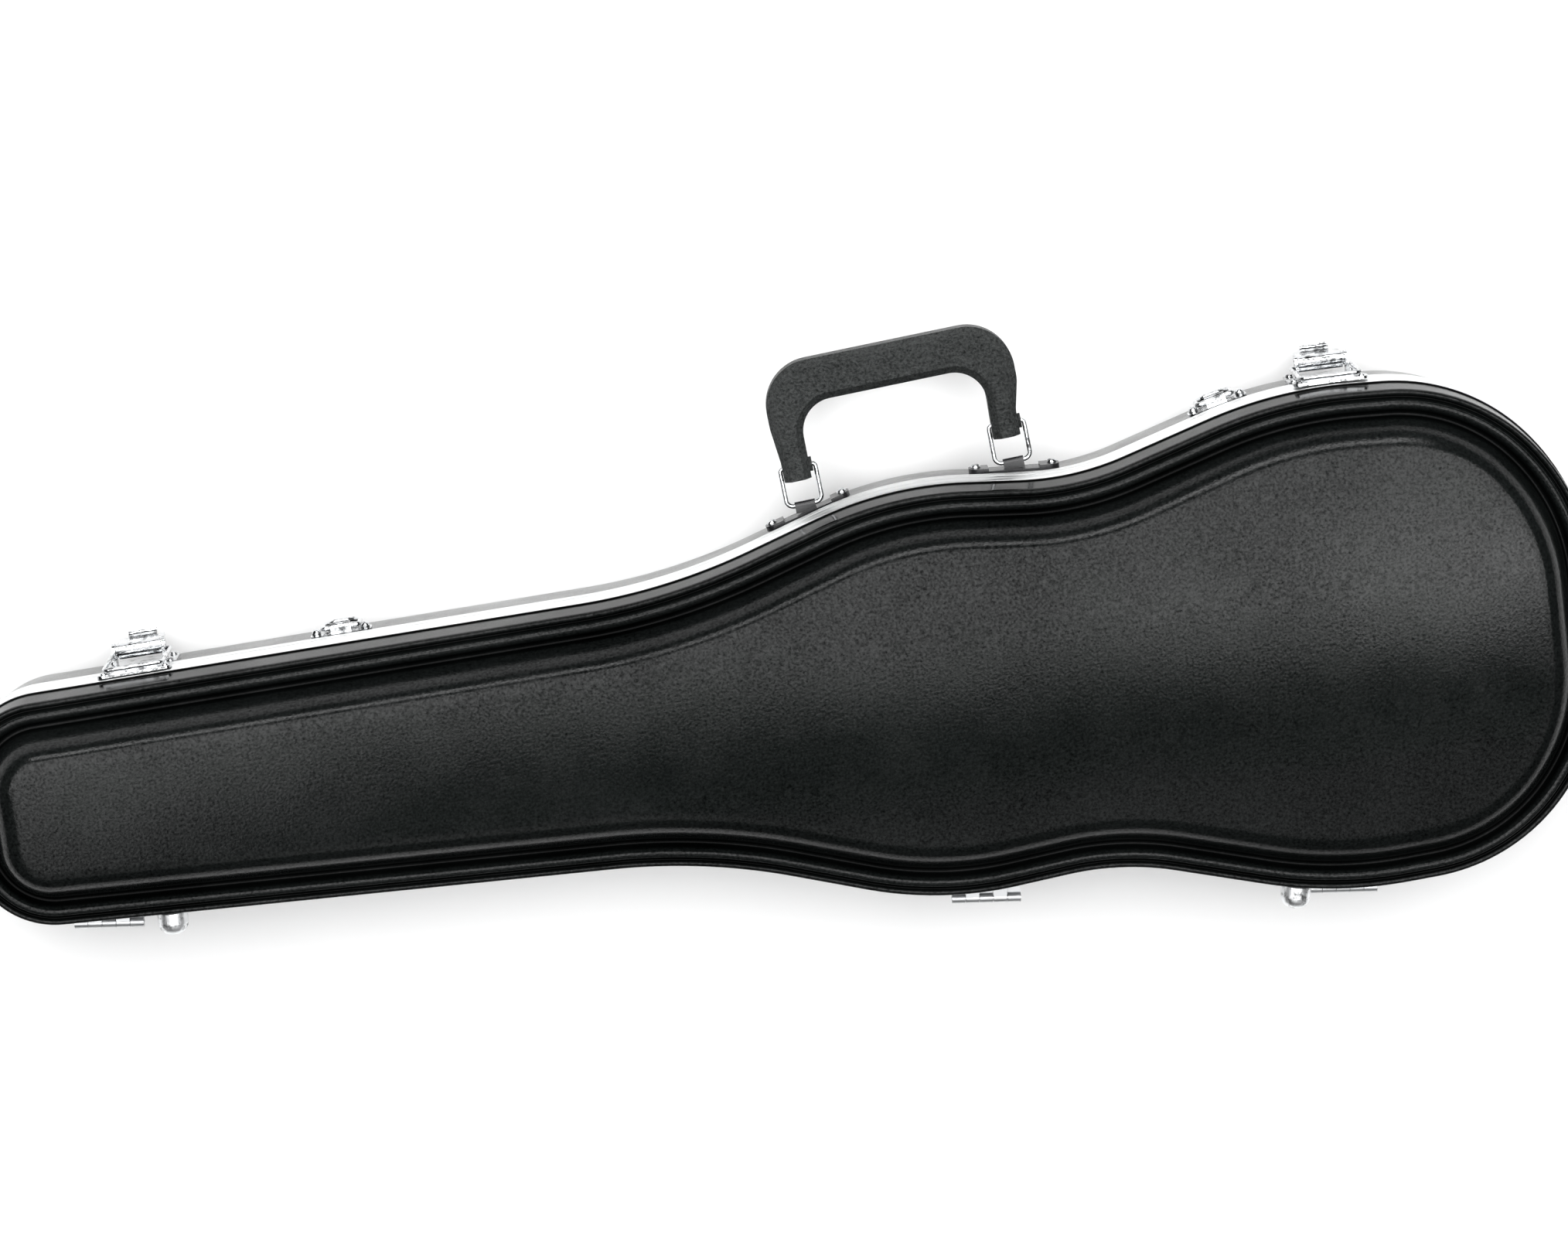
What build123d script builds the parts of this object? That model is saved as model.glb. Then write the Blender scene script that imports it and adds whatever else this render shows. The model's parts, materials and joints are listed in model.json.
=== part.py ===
from build123d import *
import os
from math import cos, radians, sin

# Shaped hard case for a violin: two moulded shells with a metal valance round the parting line.
# The case lies on its back. +X runs from the neck end to the wide end, +Y points to the handle
# side, +Z points up through the lid, and z = 0 is the flat back. Millimetres.

# Plan of the case: corners of the half outline as (x, half width, corner radius), neck end first.
PLAN = (
    (-398, 56, 44),
    (-46, 67, 300),
    (65, 103.5, 180),
    (154, 95, 132),
    (255, 125, 210),
    (347, 120, 94),
    (398, 57, 110),
)

# Shells and valance, by height and by inset from the plan outline
PARTING_Z = 62.0
LID_GAP = 0.4
VALANCE_HEIGHT = 11.0
VALANCE_THICK = 1.4
VALANCE_WEB = 1.2
VALANCE_WEB_WIDTH = 5.0
SHELL_INSET = 1.5
SHELL_WALL = 3.0
BASE_DRAFT = 2.5
BASE_SHOULDER_Z = 5.0
BASE_PANEL_INSET = 20.0
LID_DRAFT = 1.5
LID_SHOULDER_Z = 93.0
LID_SHOULDER_RADIUS = 5.0
GROOVE_INSET = 12.5
GROOVE_DEPTH = 2.0
PANEL_INSET = 17.0
PANEL_DRAFT = 3.0
CROWN_Z = 112.0
CROWN_RADIUS = 640.0
GAP = 0.3

# Linings
LINING = 8.0
BASE_LINER_TOP = 57.0
CAVITY_FLOOR = 18.0
POCKET_INSET = 19.5
POCKET_CUTS = (-400.0, -354.0, -243.0)
NECK_CHANNEL_X = (-235.0, 4.0)
NECK_CHANNEL_HALF = 34.0
CAVITY_INSET = 15.0
BODY_CUTS = (4.0, 110.0, 200.0, 280.0, 345.0, 400.0)
LID_CUTS = (-400.0, -354.0, -150.0, 4.0, 110.0, 200.0, 280.0, 345.0, 400.0)
SHOULDER_PAD_LOW = 84.0
SHOULDER_PAD_INSET = 27.0
LID_PAD_LOW = 99.0
CRADLE_X = (-66.0, -34.0)
CRADLE_TOP = 51.0
CRADLE_RADIUS = 17.0
NECK_TIE_X = (-61.0, -39.0)
NECK_TIE_THICK = 2.0

# Cover of the accessory pocket, by inset from the plan outline
COVER_INSET = 16.4
COVER_END_X = -239.5
COVER_Z = (57.8, 60.4)
COVER_HINGE_X = -312.0
COVER_HINGE_LENGTH = 75.0
COVER_HINGE_INSET = 16.0
COVER_HINGE_Z = 57.6

# Hardware
WALL_BACK = 1.9
PLATE = 1.3
HARDWARE_Z = 40.0
RIVET_RADIUS = 1.9
RIVET_HEIGHT = 1.2
RUNNING = 0.05
WIRE = 1.1

BRACKET_X = (25.8, 127.9)
BRACKET_LENGTH = 44.0
BRACKET_WIDTH = 13.0
BRACKET_THICK = 2.6
PIVOT_OUT = 2.6
LOOP_WIDTH = 17.5
LOOP_HEIGHT = 19.0
GRIP_HALF = 61.0
GRIP_TOP = 70.0
GRIP_BAR = 20.8
GRIP_FOOT = 13.0
GRIP_THICK = 17.0

LATCH_X = {"neck": -306.0, "body": 282.0}
LATCH_WIDTH = 36.0
LATCH_PIVOT = (7.0, 38.0)
LATCH_LINK = (3.6, 33.2)
LINK_TOP_Z = 71.0
LINK_HALF = 14.4
LEVER_HALF = 11.0

ANCHOR_X = {"neck": -207.0, "body": 229.0}
RING_PIVOT = (1.7, 42.5)
RING_WIRE = 1.2

FOOT_X = (-304.0, 237.0)
FOOT_RADIUS = 7.3
FOOT_HEIGHT = 11.0
BASE_FOOT_Z = 38.0
LID_FOOT_Z = 83.0

HINGE_X = {"neck": -338.0, "waist": 88.0, "body": 262.0}
HINGE_TILT = -6.02
HINGE_REACH = 98.5
HINGE_LENGTH = 34.0
KNUCKLE_RADIUS = 2.4
HINGE_PIN = 1.2
HINGE_Z = PARTING_Z + LID_GAP / 2

SPINNER_X = 300.0
SPINNER_Y = 24.0
TIP_POCKET_X = (-362.0, -332.0)
TIP_POCKET_Y = 13.0
TIP_POCKET_LOW = 85.0


def corner_list(inset):
    """Corners and radii of the whole plan, drawn inwards by inset."""
    corners = PLAN + tuple((x, -y, r) for x, y, r in reversed(PLAN))
    moved = []
    radii = []
    for i, (x, y, radius) in enumerate(corners):
        here = Vector(x, y)
        before = (here - Vector(*corners[i - 1][:2])).normalized()
        after = (Vector(*corners[(i + 1) % len(corners)][:2]) - here).normalized()
        inwards = (Vector(before.Y, -before.X) + Vector(after.Y, -after.X)).normalized()
        lean = inwards.dot(Vector(before.Y, -before.X))
        moved.append(here + inwards * (inset / lean))
        convex = before.X * after.Y - before.Y * after.X < 0
        radii.append(radius - inset if convex else radius + inset)
    return moved, radii


def plan_wire(inset):
    corners, radii = corner_list(inset)
    return FilletPolyline(*corners, radius=radii, close=True)


def plan_face(inset, z):
    return Pos(0, 0, z) * make_face(plan_wire(inset))


def tier(low_inset, low_z, high_inset, high_z):
    """Solid between two levels of the plan outline, straight or with a draft."""
    if low_inset == high_inset:
        return extrude(plan_face(low_inset, low_z), amount=high_z - low_z, dir=(0, 0, 1))
    return loft([plan_face(low_inset, low_z), plan_face(high_inset, high_z)], ruled=True)


def block(x, y, z):
    """Box between two values on each axis."""
    size = (x[1] - x[0], y[1] - y[0], z[1] - z[0])
    return Pos(*((a + b) / 2 for a, b in (x, y, z))) * Box(*size)


def crown(height):
    """Long cylinder whose top is the arched face at that height."""
    return Pos(0, 0, height - CROWN_RADIUS) * Rot(0, 90, 0) * Cylinder(CROWN_RADIUS, 1000)


def rim(x, side=1):
    """Point of the outer outline at x, on the handle side or the hinge side."""
    probe = Edge.make_line((x, side * 20), (x, side * 160))
    return probe.closest_points(RIM_WIRE)[0]


def seat(x, length, side=1, z=0.0):
    """Plane that touches the outline at x: local x along it, local y outwards, local z up."""
    points = [rim(x + length * step / 8, side) for step in range(-4, 5)]
    along = (points[-1] - points[0]).normalized() * side
    outwards = Vector(-along.Y, along.X)
    reach = max(outwards.dot(p - points[4]) for p in points)
    foot = points[4] + outwards * reach
    return Plane(origin=(foot.X, foot.Y, z), x_dir=along, z_dir=(0, 0, 1))


def rod(radius, start, end):
    """Round bar between two points."""
    line = Edge.make_line(start, end)
    return extrude(Plane(line @ 0, z_dir=line % 0) * Circle(radius), amount=line.length)


def rivet(t, out, z, radius=RIVET_RADIUS, height=RIVET_HEIGHT):
    """Domed rivet head facing outwards, in the local frame of a seat."""
    head = extrude(Plane((t, out, z), z_dir=(0, 1, 0)) * Circle(radius), amount=height)
    rim_edge = head.edges().filter_by(GeomType.CIRCLE).sort_by(Axis.Y)[-1]
    return fillet(rim_edge, min(height, radius) * 0.85)


RIM_WIRE = plan_wire(0)


# Shells ---------------------------------------------------------------------------------


def base_shell():
    top = PARTING_Z - VALANCE_WEB - 0.1
    outer = tier(SHELL_INSET + BASE_DRAFT, BASE_SHOULDER_Z, SHELL_INSET, top)
    outer = fillet(outer.faces().sort_by(Axis.Z)[0].edges(), 11)
    panel = tier(BASE_PANEL_INSET + 2, 0, BASE_PANEL_INSET, BASE_SHOULDER_Z + 1)
    inner_inset = SHELL_INSET + SHELL_WALL
    inner = tier(inner_inset + BASE_DRAFT, BASE_SHOULDER_Z + SHELL_WALL, inner_inset, top)
    inner = fillet(inner.faces().sort_by(Axis.Z)[0].edges(), 8)
    recess_inset = BASE_PANEL_INSET + 2 + SHELL_WALL
    recess = tier(recess_inset, SHELL_WALL, recess_inset, BASE_SHOULDER_Z + SHELL_WALL + 1)
    return outer + panel - inner - recess


def lid_outer(shrink):
    """Outside of the lid shell, drawn in by shrink on every face."""
    low = PARTING_Z + LID_GAP + VALANCE_WEB + 0.1
    wall = tier(SHELL_INSET + shrink, low, SHELL_INSET + LID_DRAFT + shrink, LID_SHOULDER_Z - shrink)
    wall = fillet(wall.faces().sort_by(Axis.Z)[-1].edges(), LID_SHOULDER_RADIUS - shrink)
    panel = tier(PANEL_INSET + shrink, LID_SHOULDER_Z - 4, PANEL_INSET + PANEL_DRAFT + shrink, CROWN_Z + 1)
    return wall + (panel & crown(CROWN_Z - shrink))


def lid_shell():
    """Domed shell with a groove between the rounded shoulder and the raised panel."""
    groove_floor = LID_SHOULDER_Z - GROOVE_DEPTH
    groove = tier(GROOVE_INSET, groove_floor, GROOVE_INSET, LID_SHOULDER_Z + 1)
    groove -= tier(PANEL_INSET, groove_floor - 1, PANEL_INSET, LID_SHOULDER_Z + 2)
    return lid_outer(0) - groove - lid_outer(SHELL_WALL)


def valance(outer_edge_z, parting_z):
    """Channel section round the rim: a band outside the shell and a web over its edge."""
    low, high = sorted((outer_edge_z, parting_z))
    band = tier(0, low, 0, high) - tier(VALANCE_THICK, low - 1, VALANCE_THICK, high + 1)
    towards = 1 if outer_edge_z > parting_z else -1
    web_low, web_high = sorted((parting_z, parting_z + towards * VALANCE_WEB))
    web = tier(0, web_low, 0, web_high)
    web -= tier(VALANCE_WEB_WIDTH, web_low - 1, VALANCE_WEB_WIDTH, web_high + 1)
    return band + web


def base_valance():
    return valance(PARTING_Z - VALANCE_HEIGHT, PARTING_Z)


def lid_valance():
    return valance(PARTING_Z + LID_GAP + VALANCE_HEIGHT, PARTING_Z + LID_GAP)


# Linings --------------------------------------------------------------------------------


def base_lining():
    """Outside of the foam that fills the base shell."""
    inset = SHELL_INSET + SHELL_WALL + GAP + 0.2
    floor = BASE_SHOULDER_Z + SHELL_WALL + GAP
    body = tier(inset + BASE_DRAFT, floor, inset, BASE_LINER_TOP)
    return fillet(body.faces().sort_by(Axis.Z)[0].edges(), 8)


def wall_pads(lining, well_inset, low, high, cuts):
    """Blocks of lining along both walls between the cuts, each pair parted on the centre line."""
    ring = lining - tier(well_inset, low - 1, well_inset, high + 1)
    pads = []
    for start, end in zip(cuts, cuts[1:]):
        for sides in ((-130, -GAP / 2), (GAP / 2, 130)):
            pads.append(ring & block((start + GAP / 2, end - GAP / 2), sides, (low, high)))
    return pads


def base_floor_pad():
    return base_lining() & block((-400, 400), (-130, 130), (0, CAVITY_FLOOR))


def base_body_pads():
    """Wall blocks round the violin body, cut at the bouts."""
    low = CAVITY_FLOOR + GAP
    return Compound(wall_pads(base_lining(), CAVITY_INSET, low, BASE_LINER_TOP, BODY_CUTS))


def base_pocket_pads():
    """Wall blocks round the accessory pocket."""
    low = CAVITY_FLOOR + GAP
    return Compound(wall_pads(base_lining(), POCKET_INSET, low, BASE_LINER_TOP, POCKET_CUTS))


def base_neck_pads():
    """Blocks on both sides of the neck channel."""
    lining = base_lining()
    span = (NECK_CHANNEL_X[0] + GAP / 2, NECK_CHANNEL_X[1] - GAP / 2)
    height = (CAVITY_FLOOR + GAP, BASE_LINER_TOP)
    return Compound([
        lining & block(span, sides, height)
        for sides in ((-130, -NECK_CHANNEL_HALF), (NECK_CHANNEL_HALF, 130))
    ])


def base_pocket_divider():
    """Wall between the accessory pocket and the neck channel."""
    span = (POCKET_CUTS[-1] + GAP / 2, NECK_CHANNEL_X[0] - GAP / 2)
    return base_lining() & block(span, (-130, 130), (CAVITY_FLOOR + GAP, BASE_LINER_TOP))


def lid_side_pads():
    """Blocks along the wall of the lid, behind the shoulder."""
    inset = SHELL_INSET + SHELL_WALL + GAP
    low = PARTING_Z + LID_GAP + VALANCE_WEB + 0.6
    high = LID_SHOULDER_Z - SHELL_WALL - GAP
    lip = tier(inset, low, inset + LID_DRAFT, high)
    lip = fillet(lip.faces().sort_by(Axis.Z)[-1].edges(), 3)
    return Compound(wall_pads(lip, inset + LINING, low, high, LID_CUTS))


def lid_shoulder_pads():
    """Angle section blocks that carry the lining from the wall up to the top pad."""
    outer = SHELL_INSET + SHELL_WALL + LINING + 2 * GAP
    high = LID_SHOULDER_Z - SHELL_WALL - GAP
    ledge = tier(outer, SHOULDER_PAD_LOW, outer, high)
    rise_inset = PANEL_INSET + SHELL_WALL + 6 * GAP
    rise = tier(rise_inset, high - 1, rise_inset, LID_PAD_LOW - GAP)
    return Compound(wall_pads(ledge + rise, SHOULDER_PAD_INSET, SHOULDER_PAD_LOW, LID_PAD_LOW, LID_CUTS))


def lid_top_pad():
    """Pad under the raised panel, flat below and arched above."""
    inset = PANEL_INSET + SHELL_WALL + PANEL_DRAFT + GAP
    return tier(inset, LID_PAD_LOW, inset, CROWN_Z) & crown(CROWN_Z - SHELL_WALL - GAP)


def neck_cradle():
    """Padded rest with a round saddle for the violin neck."""
    side = NECK_CHANNEL_HALF - GAP
    cradle = block(CRADLE_X, (-side, side), (CAVITY_FLOOR + GAP, CRADLE_TOP))
    saddle_x = sum(CRADLE_X) / 2
    cradle -= Pos(saddle_x, 0, CRADLE_TOP - 1) * Rot(0, 90, 0) * Cylinder(CRADLE_RADIUS, 60)
    return fillet(cradle.edges().filter_by(Axis.Y).sort_by(Axis.Z)[-4:], 3)


def neck_strap():
    """Soft tie lying across the two horns of the cradle."""
    low = CRADLE_TOP + GAP
    return block(NECK_TIE_X, (-NECK_CHANNEL_HALF + 1, NECK_CHANNEL_HALF - 1), (low, low + NECK_TIE_THICK))


def compartment_lid():
    """Stiff cover that lies on the rim of the accessory pocket."""
    cover = tier(COVER_INSET, COVER_Z[0], COVER_INSET, COVER_Z[1])
    cover &= block((-400, COVER_END_X), (-130, 130), COVER_Z)
    return fillet(cover.edges().filter_by(Axis.Z).sort_by(Axis.X)[-2:], 6)


def cover_hinge_plane():
    """Local x along the hinge line of the cover, local y away from it, on the hinge side."""
    return seat(COVER_HINGE_X, COVER_HINGE_LENGTH, -1, 0)


def compartment_hinge():
    """Cloth hinge strip glued to the lining beside the compartment cover."""
    half = COVER_HINGE_LENGTH / 2
    across = (0.6 - COVER_HINGE_INSET, 5.4 - COVER_HINGE_INSET)
    strip = block((-half, half), across, (COVER_HINGE_Z - 0.4, COVER_HINGE_Z + 0.8))
    return cover_hinge_plane().location * strip


def compartment_pull():
    """Tab at the free edge of the cover."""
    low = COVER_Z[1] + 0.1
    tab = block((-6, 6), (-COVER_INSET - 9, -COVER_INSET + 1.5), (low, low + 0.6))
    return seat(COVER_HINGE_X, 20, 1, 0).location * tab


# Feet -----------------------------------------------------------------------------------


def feet(z, back):
    domes = []
    for x in FOOT_X:
        post = extrude(Plane((0, -back, 0), z_dir=(0, 1, 0)) * Circle(FOOT_RADIUS), amount=FOOT_HEIGHT)
        tip = post.edges().filter_by(GeomType.CIRCLE).sort_by(Axis.Y)[-1]
        domes.append(seat(x, 15, -1, z).location * fillet(tip, 5.5))
    return Compound(domes)


# Handle ---------------------------------------------------------------------------------


def pivot_points():
    """Centres of the two wire loops on the swing axis."""
    points = []
    for x in BRACKET_X:
        plane = seat(x, BRACKET_LENGTH, 1, HARDWARE_Z)
        points.append(plane.from_local_coords(Vector(0, PIVOT_OUT, 0)))
    return points


def handle_plane(centre):
    """Local x along the swing axis, local y outwards, local z up."""
    left, right = pivot_points()
    return Plane(origin=centre, x_dir=right - left, z_dir=(0, 0, 1))


def handle_bracket(index):
    plane = seat(BRACKET_X[index], BRACKET_LENGTH, 1, HARDWARE_Z)
    half = BRACKET_LENGTH / 2
    back = (-WALL_BACK, -WALL_BACK + BRACKET_THICK)
    strip = block((-half, half), back, (-BRACKET_WIDTH / 2, BRACKET_WIDTH / 2))
    strip = fillet(strip.edges().filter_by(Axis.Y), 5)
    strip -= block((-12.5, 12.5), (-WALL_BACK + PLATE, 3), (-8, 8))
    strip = plane.location * strip
    swing = handle_plane(pivot_points()[index])
    saddle = block((-5, 5), (-PIVOT_OUT - WALL_BACK + 1, 0), (-WIRE - 0.8, WIRE + 0.8))
    saddle += rod(WIRE + 0.8, (-5, 0, 0), (5, 0, 0))
    bore = rod(WIRE + RUNNING, (-6, 0, 0), (6, 0, 0))
    under = plane.location * block((-30, 30), (-12, -WALL_BACK), (-20, 20))
    return strip + swing.location * saddle - swing.location * bore - under


def handle_bracket_rivets():
    heads = []
    for x in BRACKET_X:
        plane = seat(x, BRACKET_LENGTH, 1, HARDWARE_Z)
        for t in (-18.6, 18.6):
            heads.append(plane.location * rivet(t, BRACKET_THICK - WALL_BACK, 0, 2.4, 1.8))
    return Compound(heads)


def wire_loop(half, height, low_corner, high_corner, radius):
    """Closed rectangular loop of round wire in the local xy plane, its low bar on y = 0."""
    corners = ((-half, 0), (-half, height), (half, height), (half, 0))
    path = FilletPolyline(*corners, radius=(low_corner, high_corner, high_corner, low_corner), close=True)
    start = path.edges().filter_by(Axis.Y).sort_by(Axis.X)[0]
    section = Plane(start @ 0.5, z_dir=start % 0.5) * Circle(radius)
    return sweep(section, path=path)


def handle_loop(index):
    loop = wire_loop(LOOP_WIDTH / 2, LOOP_HEIGHT, 3.5, 1.6, WIRE)
    return handle_plane(pivot_points()[index]).location * loop


def grip_outline(spread):
    """Arch of the moulded grip, seen along z, with its feet over the two loops."""
    inner_half = GRIP_HALF - 15.6
    outer = (
        (-spread - 7.5, GRIP_FOOT),
        (-spread - 7.5, GRIP_FOOT + 10),
        (-GRIP_HALF, GRIP_FOOT + 27),
        (-GRIP_HALF, GRIP_TOP),
        (GRIP_HALF, GRIP_TOP),
        (GRIP_HALF, GRIP_FOOT + 27),
        (spread + 5.8, GRIP_FOOT + 12),
        (spread + 5.8, GRIP_FOOT),
    )
    arch = FilletPolyline(*outer, radius=(0, 12, 18, 23, 23, 18, 12, 0), close=True)
    inner = (
        (-spread + 5.8, GRIP_FOOT - 1),
        (-inner_half, GRIP_TOP - GRIP_BAR),
        (inner_half, GRIP_TOP - GRIP_BAR),
        (spread - 7.5, GRIP_FOOT - 1),
    )
    hollow = FilletPolyline(*inner, radius=(0, 16, 16, 0), close=True)
    return make_face(arch) - make_face(hollow)


def handle_grip():
    left, right = pivot_points()
    spread = (right - left).length / 2
    face = Pos(0, 0, -GRIP_THICK / 2) * grip_outline(spread)
    grip = extrude(face, amount=GRIP_THICK, dir=(0, 0, 1))
    long_edges = grip.edges().filter_by_position(Axis.Z, GRIP_THICK / 2 - 0.1, GRIP_THICK / 2 + 0.1)
    long_edges += grip.edges().filter_by_position(Axis.Z, -GRIP_THICK / 2 - 0.1, -GRIP_THICK / 2 + 0.1)
    grip = chamfer(long_edges.filter_by(lambda e: e.center().Y > GRIP_FOOT + 0.5), 3.5)
    for centre in (-spread, spread):
        grip += rod(3.6, (centre + 5, LOOP_HEIGHT, 0), (centre + 7.35, LOOP_HEIGHT, 0))
        grip -= rod(WIRE + RUNNING, (centre - 10, LOOP_HEIGHT, 0), (centre + 10, LOOP_HEIGHT, 0))
    return handle_plane((left + right) * 0.5).location * grip


# Latches --------------------------------------------------------------------------------


def latch_plane(end):
    return seat(LATCH_X[end], LATCH_WIDTH, 1, 0)


def latch_plate(end):
    half = LATCH_WIDTH / 2
    out, up = LATCH_PIVOT
    plate = block((-half, half), (-WALL_BACK, -WALL_BACK + PLATE), (26, 50))
    plate = fillet(plate.edges().filter_by(Axis.Y), 3)
    for t in (-LEVER_HALF - 1.9, LEVER_HALF + 0.5):
        ear = block((t, t + 1.4), (-WALL_BACK + 1, out), (up - 2, up + 6))
        ear += rod(3.4, (t, out, up), (t + 1.4, out, up))
        plate += ear
    plate -= rod(1.5 + RUNNING, (-20, out, up), (20, out, up))
    return latch_plane(end).location * plate


def latch_pivot_pins():
    out, up = LATCH_PIVOT
    half = LEVER_HALF + 2.0
    pin = rod(1.5, (-half, out, up), (half, out, up))
    return Compound([latch_plane(end).location * pin for end in LATCH_X])


def latch_plate_rivets():
    heads = []
    for end in LATCH_X:
        for t in (-14.8, 14.8):
            for z in (29.5, 46.5):
                heads.append(latch_plane(end).location * rivet(t, PLATE - WALL_BACK, z))
    return Compound(heads)


def latch_lever(end):
    out, up = LATCH_PIVOT
    link_out, link_up = LATCH_LINK
    arm = block((-LEVER_HALF, LEVER_HALF), (out + 0.6, out + 2.2), (up - 18, up + 1.5))
    arm += rod(3.0, (-LEVER_HALF, out, up), (LEVER_HALF, out, up))
    web = block((-LEVER_HALF, LEVER_HALF), (link_out, out + 1), (link_up - 1, link_up + 1.6))
    arm += web + rod(2.2, (-LEVER_HALF, link_out, link_up), (LEVER_HALF, link_out, link_up))
    lip_centre = (0, out + 6.2, up - 18)
    lip = Plane(lip_centre, z_dir=(1, 0, 0)) * (Circle(5.6) - Circle(4.0))
    lip = Pos(-7, 0, 0) * extrude(lip, amount=14)
    lip &= block((-7, 7), (out + 0.6, out + 6.2), (up - 24, up - 18))
    arm += lip
    arm -= rod(1.5 + RUNNING, (-20, out, up), (20, out, up))
    arm -= rod(1.0 + RUNNING, (-20, link_out, link_up), (20, link_out, link_up))
    return latch_plane(end).location * arm


def latch_link(end):
    link_out, link_up = LATCH_LINK
    loop = wire_loop(LINK_HALF, LINK_TOP_Z - link_up, 1.6, 3, 1.0)
    upright = Plane((0, link_out, link_up), x_dir=(1, 0, 0), z_dir=(0, -1, 0))
    return latch_plane(end).location * (upright.location * loop)


def latch_keeper(end):
    low = PARTING_Z + LID_GAP + 1.2
    plate = block((-18, 18), (0.2, 1.5), (low, low + 9))
    plate = fillet(plate.edges().filter_by(Axis.Y), 3)
    plate += block((-11, 11), (1.4, 2.2), (low + 2.5, low + 6))
    return latch_plane(end).location * plate


def latch_keeper_rivets():
    z = PARTING_Z + LID_GAP + 5.7
    heads = []
    for end in LATCH_X:
        for t in (-15.0, 15.0):
            heads.append(latch_plane(end).location * rivet(t, 1.5, z, 1.7, 0.8))
    return Compound(heads)


# Strap anchors --------------------------------------------------------------------------


def anchor_plane(end):
    return seat(ANCHOR_X[end], 30, 1, 0)


def strap_anchor(end):
    out, up = RING_PIVOT
    plate = block((-15, 15), (-WALL_BACK, -WALL_BACK + PLATE), (36, 49))
    plate = fillet(plate.edges().filter_by(Axis.Y), 4)
    plate += block((-5, 5), (-WALL_BACK + 1, out), (up - 2.2, up + 2.2))
    plate += rod(2.2, (-5, out, up), (5, out, up))
    plate -= rod(RING_WIRE + RUNNING, (-8, out, up), (8, out, up))
    return anchor_plane(end).location * plate


def strap_anchor_rivets():
    heads = []
    for end in ANCHOR_X:
        for t in (-12.0, 12.0):
            heads.append(anchor_plane(end).location * rivet(t, PLATE - WALL_BACK, 44.5, 2.2, 3.2))
    return Compound(heads)


def strap_ring(end):
    out, up = RING_PIVOT
    loop = wire_loop(9, 16, 1.6, 7, RING_WIRE)
    hanging = Plane((0, out, up), x_dir=(1, 0, 0), z_dir=(0, 1, 0))
    return anchor_plane(end).location * (hanging.location * loop)


# Lid hinges -----------------------------------------------------------------------------


def hinge_plane(name):
    """Local x along the hinge line, local y inwards to the case, local z up."""
    tilt = radians(HINGE_TILT)
    along = Vector(cos(tilt), sin(tilt))
    outwards = Vector(sin(tilt), -cos(tilt))
    foot = outwards * HINGE_REACH
    origin = foot + along * ((HINGE_X[name] - foot.X) / along.X)
    return Plane(origin=(origin.X, origin.Y, HINGE_Z), x_dir=along, z_dir=(0, 0, 1))


def hinge_leaf(name, lid):
    """Formed leaf on the valance with its share of the five knuckles."""
    place = hinge_plane(name).location
    up = 1 if lid else -1
    near, far = sorted((up * 0.5, up * 9.5))
    half = HINGE_LENGTH / 2
    band = tier(-1.3, HINGE_Z + near, -1.3, HINGE_Z + far) - tier(-0.1, 40, -0.1, 90)
    leaf = band & (place * block((-half, half), (0, 16), (-20, 20)))
    pitch = HINGE_LENGTH / 5
    web_low, web_high = sorted((up * 0.5, up * 2.2))
    reach = hinge_reach(name)
    for k in range(1 if lid else 0, 5, 2):
        start = -half + k * pitch + 0.15
        end = start + pitch - 0.3
        leaf += place * rod(KNUCKLE_RADIUS, (start, 0, 0), (end, 0, 0))
        leaf += place * block((start, end), (0.5, reach), (web_low, web_high))
    leaf -= tier(-0.1, 40, -0.1, 90)
    return leaf - place * rod(HINGE_PIN + RUNNING, (-half - 2, 0, 0), (half + 2, 0, 0))


def hinge_reach(name):
    """Distance from the hinge line to just inside the valance at one hinge."""
    plane = hinge_plane(name)
    half = HINGE_LENGTH / 2
    points = [rim(HINGE_X[name] + half * step / 2, -1) for step in range(-2, 3)]
    return max(plane.to_local_coords(p).Y for p in points)


def hinge_pins():
    half = HINGE_LENGTH / 2
    pins = [hinge_plane(n).location * rod(HINGE_PIN, (-half, 0, 0), (half, 0, 0)) for n in HINGE_X]
    return Compound(pins)


def hinge_rivets(lid):
    z = HINGE_Z + (6.5 if lid else -6.5)
    heads = []
    for name in HINGE_X:
        for step in (-12, 0, 12):
            plane = seat(HINGE_X[name] + step, 4, -1, 0)
            heads.append(plane.location * rivet(0, 1.35, z, 1.6, 0.7))
    return Compound(heads)


# Bow holders in the lid -----------------------------------------------------------------


def bow_spinner_posts():
    posts = []
    for y in (-SPINNER_Y, SPINNER_Y):
        plate = rod(8, (0, 0, LID_PAD_LOW - 2.8), (0, 0, LID_PAD_LOW - 0.2))
        post = plate + rod(2, (0, 0, 82), (0, 0, LID_PAD_LOW - 2))
        posts.append(Pos(SPINNER_X, y, 0) * (post + rod(4, (0, 0, 80), (0, 0, 82.5))))
    return Compound(posts)


def bow_spinner(y):
    bar = block((-21, 21), (-4.5, 4.5), (83, 88.5))
    bar = fillet(bar.edges().filter_by(Axis.Z), 4.2)
    bar -= rod(2 + RUNNING, (0, 0, 80), (0, 0, 90))
    return Pos(SPINNER_X, y, 0) * bar


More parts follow.
